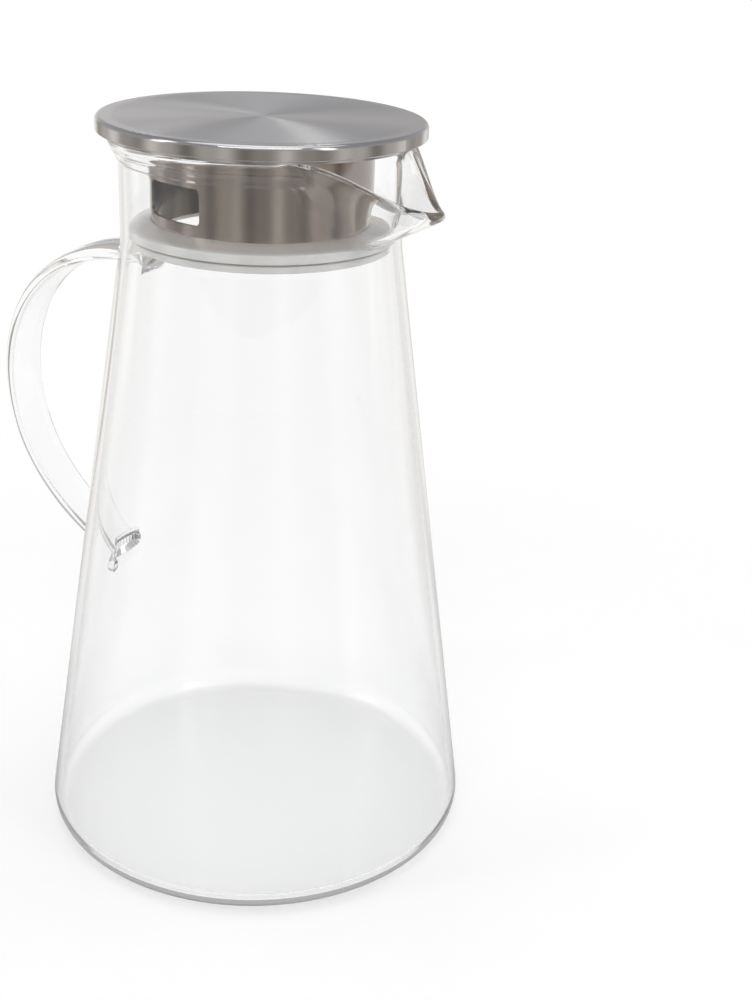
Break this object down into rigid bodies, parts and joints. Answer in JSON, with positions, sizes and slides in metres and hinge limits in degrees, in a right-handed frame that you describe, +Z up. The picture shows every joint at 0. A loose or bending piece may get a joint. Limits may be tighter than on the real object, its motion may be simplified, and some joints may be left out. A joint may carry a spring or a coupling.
{
  "type": "glass pitcher with lid",
  "caption": "Conical clear glass pitcher with a pulled spout and a glass strap handle, closed by a round steel lid whose collar has a pouring window and a silicone seal.",
  "frame": {"origin": "centre of the flat ring that the pitcher stands on", "axes": "+Z up along the axis of the glass, +X towards the spout, -X towards the handle"},
  "size_m": [0.1788, 0.144, 0.24],
  "materials": {
    "clear_glass": "clear, fire-polished",
    "lid_steel": "satin, turned in circles",
    "collar_steel": "satin",
    "silicone": "smooth, milky, slightly glossy"
  },
  "bodies": {
    "pitcher": {"glass_body": "clear_glass", "glass_handle": "clear_glass"},
    "seal": {"seal": "silicone"},
    "lid": {"lid_cap": "lid_steel", "lid_plate": "lid_steel", "collar": "collar_steel"}
  },
  "joints": [
    {"name": "lid_lift", "type": "slide", "parent": "pitcher", "child": "seal", "axis": [0, 0, 1], "range_m": [0, 0.06]},
    {"name": "lid_turn", "type": "hinge", "parent": "seal", "child": "lid", "pos_m": [0, 0, 0], "axis": [0, 0, 1], "continuous": true}
  ]
}
